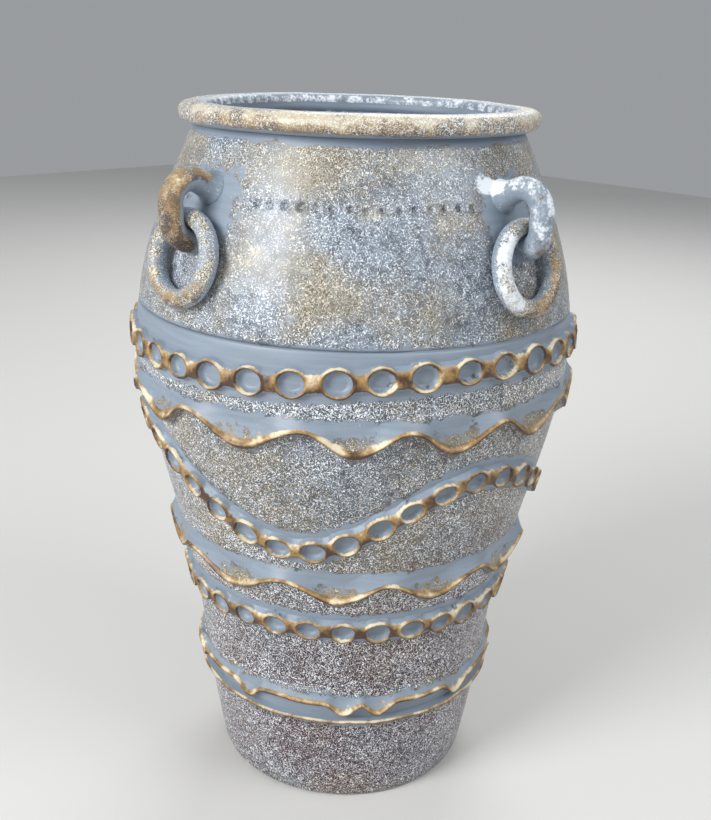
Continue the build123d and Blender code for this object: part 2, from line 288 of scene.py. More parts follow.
class JarPaintSettings(bpy.types.PropertyGroup):
    """Colours of the paint, some of them painted light and shade."""

    paint: colour("Paint", "Grey-blue coat over the clay", "#85919f")
    smear: colour("Smear", "The coat where it was wiped plain", "#8d9baa")
    shade: colour("Shade", "Darker coat between the flecks", "#424b57")
    fleck: colour("Fleck", "Pale blue-white flecks", "#eef4fa")
    bronze: colour("Bronze", "Brown flecks in the coat", "#716650")
    # Reddish-brown flecks low on the jar; their mauve tint is painted light, a purple bounce
    rust_with_painted_bounce: colour("Rust", "Reddish flecks low on the jar", "#3e2029")
    tan: colour("Tan", "Coat under gold dust", "#9a8f76")
    # Painted shade: the colour that darkens the bottom of the seam and of the prick marks
    groove: colour("Groove", "Dark bottom of the seam and the prick marks", "#3a3d44")
    # Cream is the colour of flecks under gold dust, and also the painted highlight on the upper edges of
    # the gold
    cream_and_painted_highlight: colour("Cream", "Light gold on upper edges", "#e6dabb")
    gold: colour("Gold", "Gold on raised edges", "#a2814e")
    # Painted shade: the gold of lower edges, darkened as shade would darken it
    gold_in_painted_shade: colour("Ochre", "Dark gold on lower edges", "#4a3120")


class JarStageSettings(bpy.types.PropertyGroup):
    """Light and floor."""

    floor: colour("Floor", "Plain pale floor", "#d9d8d5")
    world: colour("World", "Soft light from all round", "#c9ccd0")
    world_power: number("World power", "Strength of the soft light", 0.55)
    window_power: number("Window power", "Watts of the window light", 80.0)
    fill_power: number("Fill power", "Watts of the light on the other side", 33.0)
    back_power: number("Back power", "Watts of the light behind the jar", 36.0)


# Smooth maths shared by the pieces


def natural_bends(places, values):
    """Second derivatives of the natural cubic spline through the values."""
    count = len(places)
    matrix = np.eye(count)
    right = np.zeros(count)
    for index in range(1, count - 1):
        before = places[index] - places[index - 1]
        after = places[index + 1] - places[index]
        matrix[index, index - 1 : index + 2] = before, 2 * (before + after), after
        rise = (values[index + 1] - values[index]) / after
        right[index] = 6 * (rise - (values[index] - values[index - 1]) / before)
    return np.linalg.solve(matrix, right)


OUTLINE_BENDS = natural_bends(OUTLINE_HEIGHTS, OUTLINE_RADII)


def wall_radius(height):
    """Outer radius of the wall at heights."""
    height = np.clip(np.asarray(height, float), 0.0, NECK_HEIGHT)
    index = np.clip(np.searchsorted(OUTLINE_HEIGHTS, height) - 1, 0, len(OUTLINE_HEIGHTS) - 2)
    low = OUTLINE_HEIGHTS[index]
    step = OUTLINE_HEIGHTS[index + 1] - low
    after = (height - low) / step
    before = 1 - after
    straight = before * OUTLINE_RADII[index] + after * OUTLINE_RADII[index + 1]
    bend = (before**3 - before) * OUTLINE_BENDS[index] + (after**3 - after) * OUTLINE_BENDS[index + 1]
    return straight + bend * step**2 / 6


def wall_slope(height):
    """Change of radius with height."""
    step = 0.0005
    return (wall_radius(height + step) - wall_radius(height - step)) / (2 * step)


def smooth(low, high, value):
    """Smooth step from 0 at low to 1 at high."""
    share = np.clip((value - low) / (high - low), 0, 1)
    return share * share * (3 - 2 * share)


def zone(value, low, high, soft):
    """1 between low and high, fading over soft on each side."""
    return smooth(low - soft, low, value) * (1 - smooth(high, high + soft, value))


def degrees_from(bearing, middle):
    """Degrees round the jar from a middle bearing, between -180 and 180."""
    return (np.degrees(bearing) - middle + 180) % 360 - 180


def spot(bearing, height, middle, level, half_angle, half_height):
    """Soft patch of 1 round a bearing in degrees and a height."""
    away = degrees_from(bearing, middle)
    return np.exp(-((away / half_angle) ** 2) - ((height - level) / half_height) ** 2)


def even_bearings(columns):
    """Bearings of the columns of a mesh that runs round the jar."""
    return np.arange(columns) * FULL_TURN / columns


def round_axis(radius, bearing, height):
    """Points round the jar's axis, as an array of (x, y, z)."""
    angle = BEST_SIDE + bearing
    return np.stack(np.broadcast_arrays(radius * np.cos(angle), radius * np.sin(angle), height), axis=-1)


def hand_drift(bearing, height, body):
    """How far the thrown wall strays: a slow oval, and throwing lines that show most on the neck."""
    oval = 0.6 * np.sin(2 * bearing + 0.7) + 0.4 * np.sin(3 * bearing - 1.1 + 9 * height)
    shown = 0.35 + 0.65 * smooth(0.46, 0.56, height)
    lines = shown * np.sin(height * LINE_WAVES + 0.7 * np.sin(2 * bearing))
    return body.wobble * oval + body.throwing * lines


def on_wall(bearing, height, lift, body):
    """Points at a lift straight out of the wall's face."""
    slope = wall_slope(height)
    tilt = 1 / np.sqrt(1 + slope**2)
    radius = wall_radius(height) + hand_drift(bearing, height, body) + lift * tilt
    return round_axis(radius, bearing, height - lift * slope * tilt)


def out_of_wall(bearing, height):
    """Unit vectors straight out of the wall's face."""
    slope = wall_slope(height)
    tilt = 1 / np.sqrt(1 + slope**2)
    return round_axis(tilt, bearing, -slope * tilt)


# Meshes


def loop_faces(rows, columns, closed_rows):
    """Quads of a grid that closes along its columns, and along its rows if asked."""
    row = np.arange(rows if closed_rows else rows - 1)
    here, there = np.meshgrid(row, np.arange(columns), indexing="ij")
    next_row = (here + 1) % rows
    next_column = (there + 1) % columns
    corners = [
        here * columns + there,
        here * columns + next_column,
        next_row * columns + next_column,
        next_row * columns + there,
    ]
    return np.stack(corners, axis=-1).reshape(-1, 4)


def new_piece(name, points, faces=(), edges=(), values=None, vectors=None):
    """A mesh object with named values and vectors at its points."""
    mesh = bpy.data.meshes.new(name)
    mesh.from_pydata(np.reshape(points, (-1, 3)), edges, [tuple(face) for face in faces])
    for kind, field, layers in (("FLOAT", "value", values), ("FLOAT_VECTOR", "vector", vectors)):
        for title, numbers in (layers or {}).items():
            layer = mesh.attributes.new(title, kind, "POINT")
            layer.data.foreach_set(field, np.ascontiguousarray(numbers, dtype=np.float32).ravel())
    if len(faces):
        mesh.shade_smooth()
        mesh.set_sharp_from_angle(angle=SHARP_EDGE)
    piece = bpy.data.objects.new(name, mesh)
    bpy.context.scene.collection.objects.link(piece)
    return piece


def face_outwards(piece):
    """Turn the faces of a closed mesh so that they all look out."""
    mesh = piece.data
    mesh.calc_loop_triangles()
    corners = np.zeros(len(mesh.vertices) * 3)
    mesh.vertices.foreach_get("co", corners)
    triangles = np.zeros(len(mesh.loop_triangles) * 3, dtype=np.int32)
    mesh.loop_triangles.foreach_get("vertices", triangles)
    a, b, c = corners.reshape(-1, 3)[triangles.reshape(-1, 3)].transpose(1, 0, 2)
    volume = np.einsum("ij,ij->i", a, np.cross(b, c)).sum()
    if volume < 0:
        mesh.flip_normals()


def settle(piece, node, body, material):
    """Paint a finished piece and put it in the place of its CAD node."""
    face_outwards(piece)
    piece.data.materials.clear()
    piece.data.materials.append(material)
    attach(piece, body)
    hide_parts(node)


# Nodes


def add_node(tree, kind, inputs=None, output=0, **settings):
    """Add a node with its settings, link or set its inputs, and give one of its outputs."""
    made = tree.nodes.new(kind)
    for key, value in settings.items():
        setattr(made, key, value)
    for key, value in (inputs or {}).items():
        if isinstance(value, bpy.types.NodeSocket):
            tree.links.new(value, made.inputs[key])
        else:
            made.inputs[key].default_value = value
    return made.outputs[output] if len(made.outputs) else None


def start_tree(name, numbers, vectors=()):
    """A Geometry Nodes tree with named inputs, the short way to add its nodes, and what its inputs give."""
    tree = bpy.data.node_groups.new(name, "GeometryNodeTree")
    sockets = [("Geometry", "OUTPUT", "Geometry"), ("Geometry", "INPUT", "Geometry")]
    sockets += [(title, "INPUT", "Float") for title in numbers]
    sockets += [(title, "INPUT", "Vector") for title in vectors]
    sockets += [("Material", "INPUT", "Material")]
    for title, way, kind in sockets:
        tree.interface.new_socket(title, in_out=way, socket_type="NodeSocket" + kind)
    node = partial(add_node, tree)
    return tree, node, node("NodeGroupInput").node.outputs


def end_tree(node, given, shape, marks):
    """Store the paint's marks on a shape, make it real and give it its material."""
    for title, value in marks.items():
        inputs = {"Geometry": shape, "Name": title, "Value": value}
        shape = node("GeometryNodeStoreNamedAttribute", inputs, data_type="FLOAT")
    shape = node("GeometryNodeRealizeInstances", {"Geometry": shape})
    shape = node("GeometryNodeSetMaterial", {"Geometry": shape, "Material": given["Material"]})
    node("NodeGroupOutput", {"Geometry": shape})


def hand_stray(node, given, lumps):
    """How far the clay strays at each point under an uneven hand that leaves so many lumps to a metre."""
    noise = node("ShaderNodeTexNoise", {"W": given["Seed"], "Scale": lumps}, noise_dimensions="4D")
    swing = node("ShaderNodeMath", {0: noise, 1: 4.0, 2: -2.0}, operation="MULTIPLY_ADD")
    return node("ShaderNodeMath", {0: swing, 1: given["Unevenness"]}, operation="MULTIPLY")


def run_tree(piece, tree, **inputs):
    """Run a Geometry Nodes tree on a piece and keep the result as its plain mesh."""
    modifier = piece.modifiers.new(tree.name, "NODES")
    modifier.node_group = tree
    for socket in tree.interface.items_tree:
        title = socket.name.lower().replace(" ", "_")
        if socket.in_out == "INPUT" and title in inputs:
            modifier[socket.identifier] = inputs[title]
    graph = bpy.context.evaluated_depsgraph_get()
    mesh = bpy.data.meshes.new_from_object(piece.evaluated_get(graph))
    piece.modifiers.remove(modifier)
    old = piece.data
    piece.data = mesh
    bpy.data.meshes.remove(old)
    mesh.name = piece.name
    mesh.shade_smooth()


# Paint

# What the pieces carry for the paint: how plain it was wiped, how gilded it is, how brown it is with
# painted shade in it, how thick with flecks it is, how faint the flecks are, where it is dabbed with white
# (inside the jar also painted light), and the painted shade that darkens it in a groove
MARKS = ("plain", "gilt", "warm", "dense", "haze", "dab", "deep")

# Grains of the paint: size in metres, detail, how far the pattern is moved and how it is stretched.
# Clouds, patches and blotches come from the sponge, the brush marks run level, and the grit is about 2 mm.
GRAINS = {
    "cloud": (0.040, 3.0, (0, 0, 0), (1, 1, 1)),
    "brown_cloud": (0.055, 3.0, (3.1, 1.7, 0.4), (1, 1, 1)),
    "patch": (0.016, 2.0, (5.9, 0.6, 3.3), (1, 1, 1)),
    "blotch": (0.009, 3.0, (1.3, 0.2, 2.2), (1, 1, 1)),
    "brush": (0.045, 4.0, (0.3, 5.2, 1.1), (1, 1, 11)),
    "grit": (0.0021, 2.0, (7.7, 2.9, 4.3), (1, 1, 1)),
}

# Satin acrylic on fired clay, sponged, wiped and dry-brushed by hand. For each finish: how well its gold
# covers, how pale the gold is, the size of a fleck in metres, and how creamy flecks turn under gold dust.
FINISHES = {
    # Sponged wall: a soft, grainy grey-blue with pale threads, and brown showing through
    "speckled_paint_on_clay": (1.0, 0.0, 0.0020, 0.7),
    # Pressed strips: worn gold along the lips, and calm grey-blue where a wet finger wiped them
    "gilded_edges_on_clay": (1.0, 0.0, 0.0020, 0.7),
    # Rim: pale gold rubbed thinly over white flecks, so that it looks chalky
    "gilded_speckle_on_rim": (0.65, 0.2, 0.0021, 0.2),
    # Lugs and rings: finer flecks under a darker gold, rubbed into the bars
    "brushed_paint_on_lugs": (0.9, -0.3, 0.0017, 0.7),
    "brushed_paint_on_rings": (0.9, -0.3, 0.0017, 0.7),
}

# Satin to the eye: the coat's roughness, what wiping and flecks add to it, its sheen and the flecks' relief
COAT_ROUGHNESS = 0.33
WIPED_ROUGHER = 0.12
FLECK_ROUGHER = 0.08
SHEEN = 0.6
FLECK_RELIEF = 0.0002

# Coats of paint in the order in which they go on: the new coat, what it goes over, its share and its paint.
# The edges are the dry-brushed gold with painted light on it: a cream painted highlight on faces that look
# up, and painted shade that darkens it below.
COATS = (
    ("earth", "bronze", "rusty", "rust_with_painted_bounce"),
    ("wiped", "paint", "streaks", "smear"),
    ("specks", "fleck", "creamy", "cream_and_painted_highlight"),
    ("edges", "gold_in_painted_shade", "golden", "gold"),
    ("edges", "edges", "sunlit", "cream_and_painted_highlight"),
    ("edges", "edges", "glints", "specks"),
    ("coat", "shade", "cover", "paint"),
    ("coat", "coat", "dust", "tan"),
    ("coat", "coat", "ground", "earth"),
    ("coat", "coat", "brown", "earth"),
    ("coat", "coat", "plain", "wiped"),
    ("coat", "coat", "flecks", "specks"),
    ("coat", "coat", "dab", "fleck"),
    ("coat", "coat", "gold", "edges"),
    # Painted shade laid into the seam and the prick marks
    ("coat", "coat", "deep", "groove"),
)


def painted_clay(name, paints):
    """One of the finishes, laid on by the marks that the mesh carries."""
    if name in bpy.data.materials:
        return bpy.data.materials[name]
    gilding, pale, fleck_size, creamy = FINISHES[name]
    material = bpy.data.materials.new(name)
    material.use_nodes = True
    material.node_tree.nodes.clear()
    node = partial(add_node, material.node_tree)
    place = node("ShaderNodeTexCoord", output="Object")
    up = node("ShaderNodeSeparateXYZ", {0: place.node.outputs["Normal"]}, "Z")
    mark = {title: node("ShaderNodeAttribute", output="Fac", attribute_name=title) for title in MARKS}
    grain = {}
    for title, (size, detail, move, stretch) in GRAINS.items():
        moved = node("ShaderNodeMapping", {"Vector": place, "Location": move, "Scale": stretch})
        grain[title] = node("ShaderNodeTexNoise", {"Vector": moved, "Scale": 1 / size, "Detail": detail})

    def strayed(value, **sizes):
        """The value, straying to both sides by these sizes with the grains."""
        for title, size in sizes.items():
            inputs = {0: grain[title], 1: 2 * size, 2: value}
            value = node("ShaderNodeMath", inputs, operation="MULTIPLY_ADD")
        return node("ShaderNodeMath", {0: value, 1: sum(sizes.values())}, operation="SUBTRACT")

    # Levels that the coats follow
    # The brown mark is partly the coat's brown and partly painted shade: where it is high the ground is
    # darker
    brownness_and_shade = mark["warm"]
    wiped = strayed(mark["plain"], cloud=0.5, blotch=0.9, grit=0.4)
    dusty = strayed(mark["gilt"], brown_cloud=0.4)
    cover = node("ShaderNodeMath", {0: brownness_and_shade, 1: -0.35, 2: grain["blotch"]}, operation="MULTIPLY_ADD")
    brown = node("ShaderNodeMath", {0: brownness_and_shade, 1: 0.28, 2: grain["grit"]}, operation="MULTIPLY_ADD")
    brown = strayed(brown, brown_cloud=0.36, blotch=0.06)
    # White dabbed on, which inside the jar is also painted light
    white_dab_and_light_level = strayed(mark["dab"], blotch=0.5, grit=0.3)
    brushed = strayed(mark["gilt"], grit=0.3, blotch=0.25, patch=0.5)
    # Painted light on the gold: the more a face looks up the creamier it turns, the more it looks down the
    # darker; pale shifts all of it
    light = node("ShaderNodeMath", {0: up, 1: 0.7, 2: pale}, operation="MULTIPLY_ADD")
    light = strayed(light, patch=1.4, grit=0.35)

    # Pale flecks are the threads where a worm grain crosses its middle, thinner where the coat was wiped
    inputs = {"Vector": place, "Scale": 1 / fleck_size, "Detail": 1.0, "Distortion": 0.5}
    worm = node("ShaderNodeTexNoise", inputs)
    thread = node("ShaderNodeMath", {0: worm, 1: 0.5}, operation="SUBTRACT")
    thread = node("ShaderNodeMath", {0: thread}, operation="ABSOLUTE")
    inputs = {"Value": wiped, "From Min": 0.1, "From Max": 0.85, "To Min": 0.030, "To Max": -0.026}
    width = node("ShaderNodeMapRange", inputs, interpolation_type="SMOOTHSTEP")
    width = node("ShaderNodeMath", {0: width, 1: mark["dense"]}, operation="ADD")
    width = strayed(width, cloud=0.028, blotch=0.022, grit=0.045)
    within = node("ShaderNodeMath", {0: width, 1: thread}, operation="SUBTRACT")
    clear = node("ShaderNodeMath", {0: 1.0, 1: mark["haze"]}, operation="SUBTRACT")

    # Share of each coat: the level it follows, where it starts, where it is full, and the most it covers
    steps = {
        "plain": (wiped, 0.36, 0.64, 1.0),
        "cover": (cover, 0.22, 0.8, 1.0),
        "dust": (dusty, 0.02, 0.32, 0.55),
        "creamy": (dusty, 0.02, 0.32, creamy),
        "rusty": (brownness_and_shade, 0.3, 0.75, 1.0),
        "brown": (brown, 0.545, 0.605, 1.0),
        "streaks": (grain["brush"], 0.35, 0.7, 1.0),
        "flecks": (within, -0.002, 0.004, clear),
        "dab": (white_dab_and_light_level, 0.35, 0.65, 1.0),
        "gold": (brushed, 0.40, 0.64, gilding),
        "golden": (light, -0.4, 0.35, 1.0),
        "sunlit": (light, 0.25, 0.9, 1.0),
    }
    share = {"deep": mark["deep"]}
    for title, (level, start, full, most) in steps.items():
        inputs = {"Value": level, "From Min": start, "From Max": full, "To Max": most}
        share[title] = node("ShaderNodeMapRange", inputs, interpolation_type="SMOOTHSTEP")
    flecks = share["flecks"]
    for title, part in (("ground", brownness_and_shade), ("glints", flecks)):
        share[title] = node("ShaderNodeMath", {0: part, 1: 0.5}, operation="MULTIPLY")

    tones = {title: getattr(paints, title) for title in JarPaintSettings.__annotations__}
    for title, under, part, over in COATS:
        inputs = {0: share[part], 6: tones[under], 7: tones[over]}
        tones[title] = node("ShaderNodeMix", inputs, 2, data_type="RGBA")

    relief = node("ShaderNodeMath", {0: grain["grit"], 1: 0.5}, operation="MULTIPLY")
    relief = node("ShaderNodeMath", {0: flecks, 1: 0.6, 2: relief}, operation="MULTIPLY_ADD")
    bump = node("ShaderNodeBump", {"Strength": 0.5, "Distance": FLECK_RELIEF, "Height": relief})
    inputs = {0: share["plain"], 1: WIPED_ROUGHER, 2: COAT_ROUGHNESS}
    rough = node("ShaderNodeMath", inputs, operation="MULTIPLY_ADD")
    rough = node("ShaderNodeMath", {0: flecks, 1: FLECK_ROUGHER, 2: rough}, operation="MULTIPLY_ADD")
    inputs = {"Base Color": tones["coat"], "Roughness": rough, "Normal": bump, "Specular IOR Level": SHEEN}
    finish = node("ShaderNodeBsdfPrincipled", inputs)
    node("ShaderNodeOutputMaterial", {"Surface": finish})
    return material


# Body


def over_frill(height, frill):
    """1 on the level strip over a frill's crests, fading softly down into its troughs."""
    crest = frill["height"] + frill["rise"]
    top = frill["root"] - frill["wiped"]
    return smooth(crest - 0.014, crest + 0.002, height) * (1 - smooth(top, top + 0.006, height))


def wall_plain(bearing, height):
    """Where the wall was wiped plain, from 0 to 1: beside the strips, under the rim and round the lugs."""
    upper_band = band_height(bearing, UPPER_TURNS)
    garland = band_height(bearing, GARLAND_TURNS)
    zones = [zone(height, *strip) for strip in WIPED_STRIPS]
    zones.append(zone(height, upper_band - 0.012, SEAM_HEIGHT - 0.002, WIPED_SOFT))
    zones.append(zone(height - garland, -0.010, 0.012, WIPED_SOFT))
    zones += [over_frill(height, frill) for frill in (UPPER_FRILL, LOWER_FRILL)]
    level, half_angle, half_height = WIPED_AT_LUG
    for turn in SIDES.values():
        beside = degrees_from(bearing, turn - degrees(BEST_SIDE))
        zones.append(np.exp(-((beside / half_angle) ** 4) - ((height - level) / half_height) ** 4))
    return np.max(zones, axis=0)


def wall_brown_and_painted_shade(bearing, height):
    """How brown and dark the coat is: more so towards the foot, and on the side away from the window, which
    is painted shade.
    """
    low = 0.55 * (1 - smooth(0.10, 0.42, height))
    # Painted shade: browner and darker on the side away from the window
    side = 0.18 * smooth(5, 50, degrees_from(bearing, 0))
    return 0.14 - 0.28 * smooth(0.42, 0.45, height) + low + side


def wall_gilt(bearing, height):
    """Where the upper wall was dusted with cream and gold."""
    dusted = [strength * spot(bearing, height, *patch) for *patch, strength in GOLD_DUST]
    return 0.20 * np.max(dusted, axis=0) + 0.10 * smooth(0.43, 0.46, height)


def wall_dense(bearing, height):
    """How much thicker the flecks lie: in strips under the bands, low down and by the front lug."""
    lower_lip = frill_line(bearing, LOWER_FRILL)[0]
    upper_band = band_height(bearing, UPPER_TURNS)
    garland = band_height(bearing, GARLAND_TURNS)
    strips = [
        0.014 * zone(height - upper_band, -0.032, -0.016, 0.006),
        0.008 * zone(height - garland, -0.030, -0.017, 0.006),
        0.008 * zone(height - lower_lip, -0.020, -0.007, 0.005),
    ]
    by_front_lug = 0.014 * spot(bearing, height, *THICK_FLECKS)
    return np.max(strips, axis=0) + 0.007 * smooth(0.30, 0.20, height) + by_front_lug


def wall_relief(bearing, height, body):
    """Lift of the wall's face at the seam and at the prick marks, whose clay is pushed up round them."""
    lift = -body.seam * np.exp(-(((height - SEAM_HEIGHT) / body.seam_width) ** 2))
    radius = wall_radius(height)
    row = PRICK_MIDDLE + (np.arange(PRICK_COUNT) - (PRICK_COUNT - 1) / 2) * PRICK_STEP
    dice = np.random.default_rng(5)
    for middle in np.concatenate([row + turn for turn in SIDES.values()]):
        sway, rise, size, push = dice.uniform(-1, 1, 4)
        aside = np.radians(degrees_from(bearing, middle)) * radius - PRICK_ASIDE * sway
        above = height - PRICK_HEIGHT - PRICK_ABOVE * rise
        away = np.hypot(aside, above) / (body.prick_radius * (1 + 0.2 * size))
        depth = body.prick * (1 + 0.35 * push)
        lift = lift - depth * (1 - smooth(0.45, 1.15, away))
        lift = lift + 0.16 * depth * np.exp(-(((away - 1.35) / 0.22) ** 2))
    return lift


def groove_shade(height, relief):
    """Painted shade at the bottom of the seam and, more lightly, of the prick marks: how dark the coat is
    made there.
    """
    by_seam = zone(height, SEAM_HEIGHT - 0.009, SEAM_HEIGHT + 0.011, 0.01)
    return (0.18 + 0.17 * by_seam) * smooth(0.0005, 0.0018, -relief)


def wall_piece(name, heights, inside_heights, columns, body):
    """One thrown length of wall, closed over its inside face."""
    bearings = even_bearings(columns)
    outer_bearing, outer_height = np.meshgrid(bearings, heights)
    inner_bearing, inner_height = np.meshgrid(bearings, inside_heights[::-1])
    relief = wall_relief(outer_bearing, outer_height, body)
    outer = on_wall(outer_bearing, outer_height, relief, body)
    inner = on_wall(inner_bearing, inner_height, 0.0, body) - round_axis(body.wall, inner_bearing, 0.0)
    bearing = np.concatenate([outer_bearing, inner_bearing])
    height = np.concatenate([outer_height, inner_height])
    outside = np.concatenate([np.ones_like(outer_height), np.zeros_like(inner_height)])
    inside = 1 - outside
    values = {
        "plain": 1.12 * outside * wall_plain(bearing, height) + 1.3 * inside,
        "warm": outside * wall_brown_and_painted_shade(bearing, height),
        "gilt": outside * wall_gilt(bearing, height),
        "haze": 0.10 * smooth(0.43, 0.47, height),
        # White dabs outside; the white laid over the whole inside is partly painted light that brightens it
        "dab": outside * spot(bearing, height, *WHITE_DAB) + 0.42 * inside,
        "dense": outside * wall_dense(bearing, height),
        # Painted shade in the seam and the prick marks
        "deep": np.concatenate([groove_shade(outer_height, relief), 0 * inner_height]),
    }
    faces = loop_faces(len(heights) + len(inside_heights), columns, True)
    return new_piece(name, np.concatenate([outer, inner]), faces, values=values)


class JAR_OT_throw_body(bpy.types.Operator):
    """Throw the foot slab and the two wall halves"""

    bl_idname = "jar.throw_body"
    bl_label = "Throw Body"

    def execute(self, context):
        body = context.scene.jar_body
        material = painted_clay("speckled_paint_on_clay", context.scene.jar_paint)
        self.slab(body, material)
        low_rows = [np.linspace(FLOOR_TOP, 0.434, 118), SEAM_HEIGHT - SEAM_ROWS[::-1]]
        high_rows = [
            SEAM_HEIGHT + SEAM_ROWS,
            np.linspace(0.446, 0.527, 18),
            PRICK_HEIGHT + PRICK_ROWS,
            np.linspace(0.5435, NECK_HEIGHT, 10),
        ]
        walls = {
            "lower_wall": (low_rows, np.linspace(FLOOR_TOP, SEAM_HEIGHT, 24)),
            "upper_wall": (high_rows, np.linspace(SEAM_HEIGHT, NECK_HEIGHT, 14)),
        }
        for node, (rows, inside_rows) in walls.items():
            wall = wall_piece("thrown_" + node, np.concatenate(rows), inside_rows, COLUMNS[node], body)
            settle(wall, node, "jar", material)
        return {"FINISHED"}

    def slab(self, body, material):
        """Round slab with a rounded lower edge, closed at its middle."""
        columns = COLUMNS["foot_slab"]
        corner = OUTLINE_RADII[0] - body.foot_round
        section = [(radius, 0.0) for radius in SLAB_RINGS]
        for angle in np.linspace(pi, pi / 2, 7):
            section.append((corner + body.foot_round * sin(angle), body.foot_round * (1 + cos(angle))))
        section += [(float(wall_radius(height)), height) for height in (0.009, FLOOR_TOP)]
        section += [(radius, FLOOR_TOP) for radius in SLAB_RINGS[::-1]]
        radius, height = np.array(section).T[:, :, None]
        bearing = even_bearings(columns)
        drift = smooth(0.09, 0.11, radius) * hand_drift(bearing, height, body)
        points = round_axis(radius + drift, bearing, height).reshape(-1, 3)
        faces = [tuple(face) for face in loop_faces(len(section), columns, False)]
        middle = len(points)
        last = middle - columns
        for column in range(columns):
            after = (column + 1) % columns
            faces.append((middle, after, column))
            faces.append((middle + 1, last + column, last + after))
        points = np.concatenate([points, [(0, 0, 0), (0, 0, FLOOR_TOP)]])
        piece = new_piece("thrown_foot_slab", points, faces, values={"warm": np.full(len(points), 0.6)})
        settle(piece, "foot_slab", "jar", material)


class JAR_OT_roll_rim(bpy.types.Operator):
    """Roll the rim and lay it on the neck"""

    bl_idname = "jar.roll_rim"
    bl_label = "Roll Rim"

    def execute(self, context):
        body = context.scene.jar_body
        material = painted_clay("gilded_speckle_on_rim", context.scene.jar_paint)
        columns = COLUMNS["rim"]
        around = np.linspace(0, FULL_TURN, 44, endpoint=False)
        bearing, turn = np.meshgrid(even_bearings(columns), around)
        middle = float(OUTLINE_RADII[-1]) - body.wall + body.rim_width / 2
        level = CAD_BOX[1][2] - body.rim_height / 2
        drift = 0.0005 * np.sin(2 * bearing + 1) + 0.0003 * np.sin(5 * bearing + turn)
        drift = drift + 0.0002 * np.sin(9 * bearing)
        square = 1 + (0.05 + 0.13 * smooth(0.0, -0.5, np.cos(turn))) * np.sin(2 * turn) ** 2
        radius = middle + (body.rim_width / 2 - body.rim_play) * square * np.cos(turn) + drift
        height = level + (body.rim_height / 2 - body.rim_play) * square * np.sin(turn) + 0.5 * drift
        points = round_axis(radius, bearing, height)

        # Brushed from under its outer side over to the top, and rusty in the middle; the extra cream on the
        # left, where the window light falls, is a painted highlight
        tilt = degrees_from(turn, 0)
        creamy = spot(bearing, 0, -22, 0, 26, 1)
        rusty = spot(bearing, 0, 14, 0, 9, 1)
        shown = smooth(-62, -25, tilt + 16 * rusty) * smooth(145, 105, tilt)
        values = {
            "gilt": shown * (0.58 + 0.14 * creamy + 0.1 * rusty - 0.26 * smooth(35, 85, tilt)),
            "plain": 1.2 - 0.9 * shown,
            "warm": 0.1 * shown,
            "dense": 0.035 * shown - 0.025 * creamy,
            # White flecks over the inner side of the rim, laid thick as painted light on the inside
            "dab": 0.46 * smooth(105, 145, tilt),
        }
        piece = new_piece("rolled_rim", points, loop_faces(len(around), columns, True), values=values)
        settle(piece, "rim_roll", "jar", material)
        return {"FINISHED"}


# Thumbed bands

# Heights across a cup and across the rope, from the middle out to two radii or two half widths
CUP_CURVE = (
    (0.0, 0.12),
    (0.25, 0.16),
    (0.38, 0.34),
    (0.44, 0.72),
    (0.475, 0.96),
    (0.50, 1.0),
    (0.53, 0.95),
    (0.57, 0.70),
    (0.61, 0.30),
    (0.65, 0.05),
    (0.70, 0.0),
    (1.0, 0.0),
)
ROPE_CURVE = (
    (0.0, 1.0),
    (0.22, 0.95),
    (0.36, 0.80),
    (0.46, 0.55),
    (0.54, 0.25),
    (0.62, 0.05),
    (0.70, 0.0),
    (1.0, 0.0),
)
# How softly rope and cup run together, and how far the edge of a strip sinks into the wall
ROPE_BLEND = 0.0032
STRIP_SINK = 0.0016
# How far a thumb slips along the strip, the width of a cup over its length, and a place far from every cup
THUMB_SLIP = 0.0018
CUP_WIDTH = 0.85
FAR_FROM_CUPS = 9.0


def band_height(bearing, turns):
    """Height of a band's middle line at bearings, eased between its turns."""
    first, height = turns[0]
    around = first + (np.degrees(bearing) - first) % 360
    turns = turns + ((first + 360, height),)
    result = np.zeros_like(around, dtype=float)
    for (start, low), (end, high) in zip(turns, turns[1:]):
        share = (1 - np.cos(pi * np.clip((around - start) / (end - start), 0, 1))) / 2
        result = np.where((around >= start) & (around <= end), low + (high - low) * share, result)
    return result


